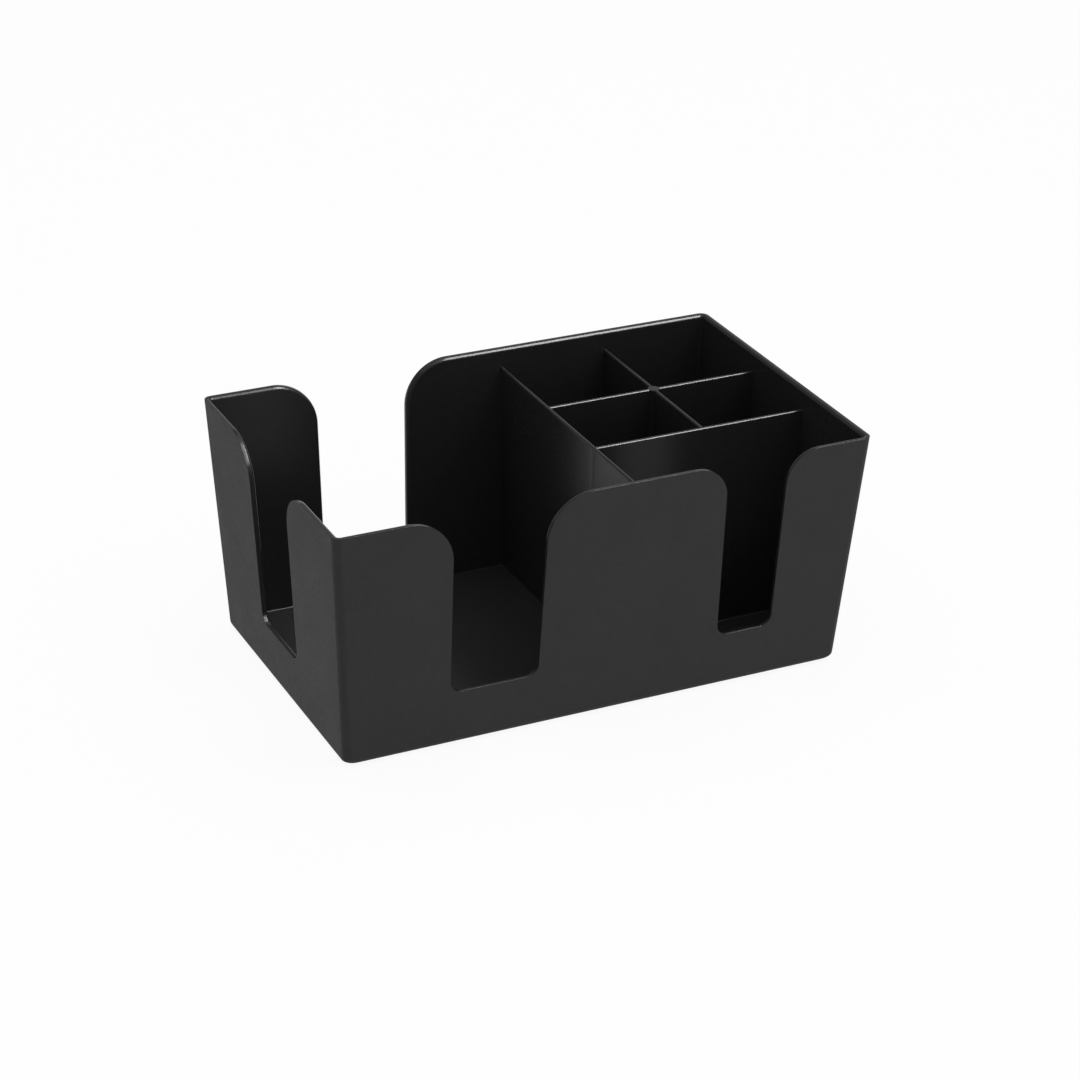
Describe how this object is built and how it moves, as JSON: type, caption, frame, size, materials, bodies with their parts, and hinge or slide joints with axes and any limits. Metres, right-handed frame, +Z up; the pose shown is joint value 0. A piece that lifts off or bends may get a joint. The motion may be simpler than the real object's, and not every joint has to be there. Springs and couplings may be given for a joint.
{
  "type": "bar caddy",
  "caption": "Tapered, open-topped tub for a bar top: a napkin bay with finger slots beside dividers that part a coaster bay and cells for straws, on rubber feet.",
  "frame": {"origin": "on the surface the feet stand on, under the middle of the tub's rim", "axes": "+X along the length to the end with the straw cells, +Y to the back, +Z up; the front is the long side with two slots"},
  "size_m": [0.24, 0.1456, 0.1074],
  "materials": {
    "tub_plastic": "fine texture outside, gloss inside",
    "foot_rubber": "matt"
  },
  "bodies": {
    "root": {"floor_panel": "tub_plastic", "front_wall": "tub_plastic", "back_wall": "tub_plastic", "napkin_end_wall": "tub_plastic", "straw_end_wall": "tub_plastic", "napkin_divider": "tub_plastic", "front_cross_divider": "tub_plastic", "rear_cross_divider_left": "tub_plastic", "rear_cross_divider_right": "tub_plastic", "centre_divider_front": "tub_plastic", "centre_divider_rear": "tub_plastic", "divider_post": "tub_plastic", "foot_front_left": "foot_rubber", "foot_front_right": "foot_rubber", "foot_back_left": "foot_rubber", "foot_back_right": "foot_rubber"}
  },
  "joints": []
}
